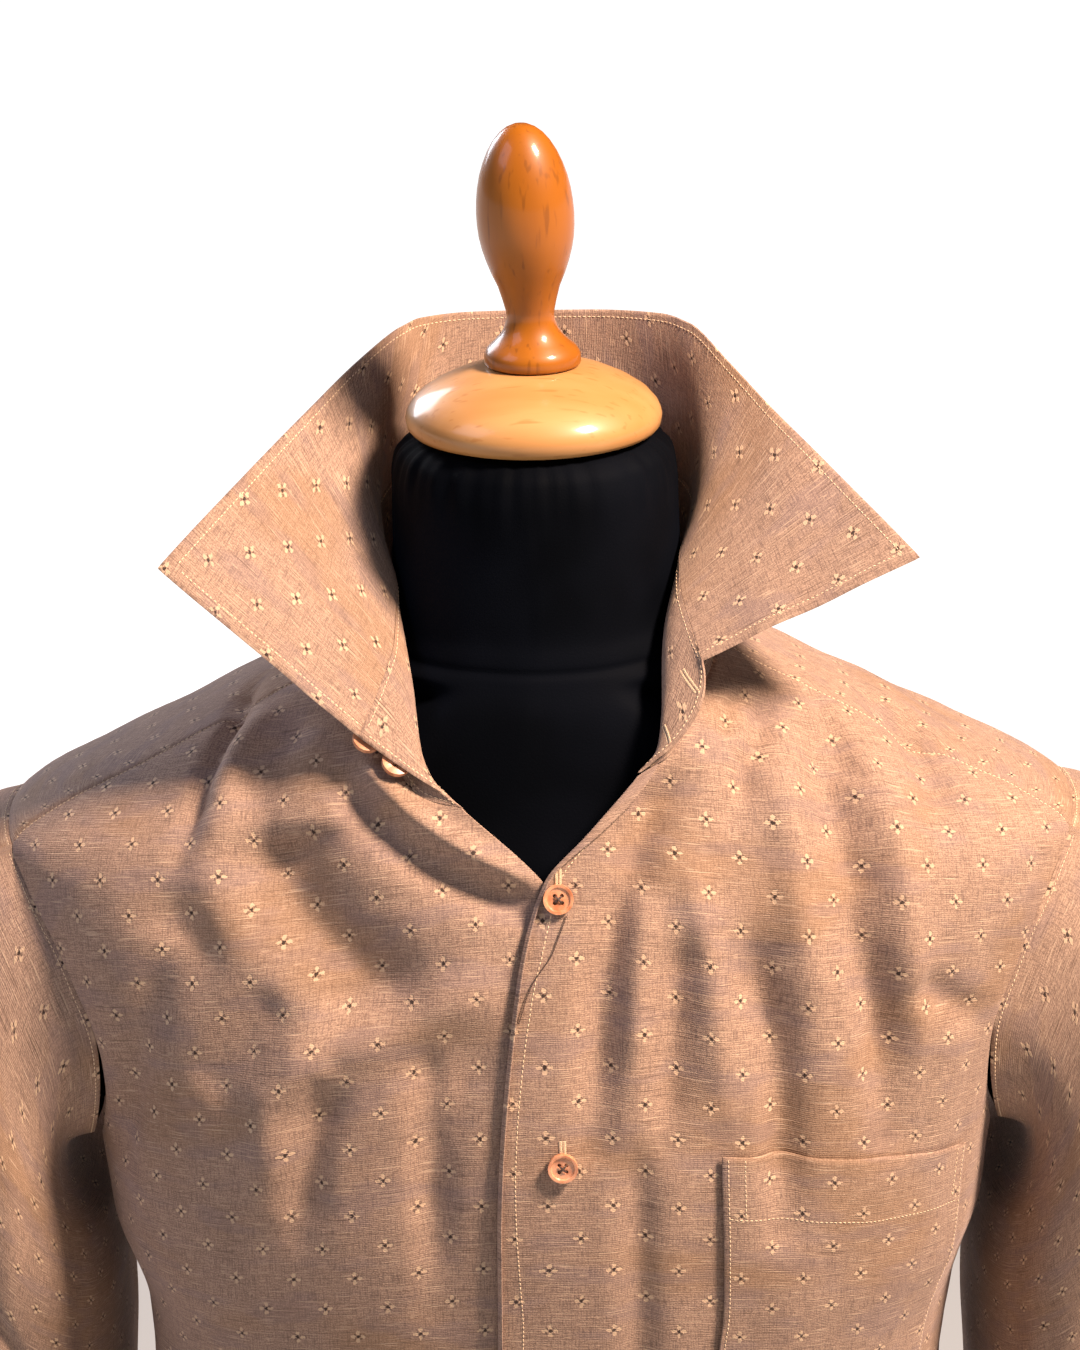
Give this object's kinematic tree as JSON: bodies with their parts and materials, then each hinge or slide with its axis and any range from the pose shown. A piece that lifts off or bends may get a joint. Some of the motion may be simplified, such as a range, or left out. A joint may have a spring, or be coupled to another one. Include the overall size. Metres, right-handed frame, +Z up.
{
  "type": "cotton shirt on a dress form",
  "caption": "Long-sleeved slub cotton shirt with a raised, wide-spread collar and a chest pocket, worn by a limbless dress form on a round stand.",
  "frame": {"origin": "middle of the base's underside, on the floor", "axes": "+Z up, the shirt's front faces -Y, +X is the wearer's left"},
  "size_m": [0.519, 0.3, 1.055],
  "materials": {
    "slub_cotton": "shot plain weave with slubs and small woven crosses",
    "salmon_button": "soft gloss, four holes",
    "black_jersey": "matt black jersey",
    "honey_beech": "lacquered pale wood",
    "amber_beech": "lacquered orange-brown wood"
  },
  "bodies": {
    "root": {"front_left": "slub_cotton", "front_right": "slub_cotton", "back": "slub_cotton", "yoke": "slub_cotton", "sleeve_left": "slub_cotton", "sleeve_right": "slub_cotton", "cuff_left": "slub_cotton", "cuff_right": "slub_cotton", "collar_stand": "slub_cotton", "collar_leaf": "slub_cotton", "pocket": "slub_cotton", "button_1": "salmon_button", "button_2": "salmon_button", "button_3": "salmon_button", "button_4": "salmon_button", "button_5": "salmon_button", "button_6": "salmon_button", "button_7": "salmon_button", "collar_button_low": "salmon_button", "collar_button_high": "salmon_button", "cuff_button_left": "salmon_button", "cuff_button_right": "salmon_button", "form_torso": "black_jersey", "neck_cap": "honey_beech", "finial": "amber_beech", "stand_post": "honey_beech", "stand_base": "honey_beech"}
  },
  "joints": []
}
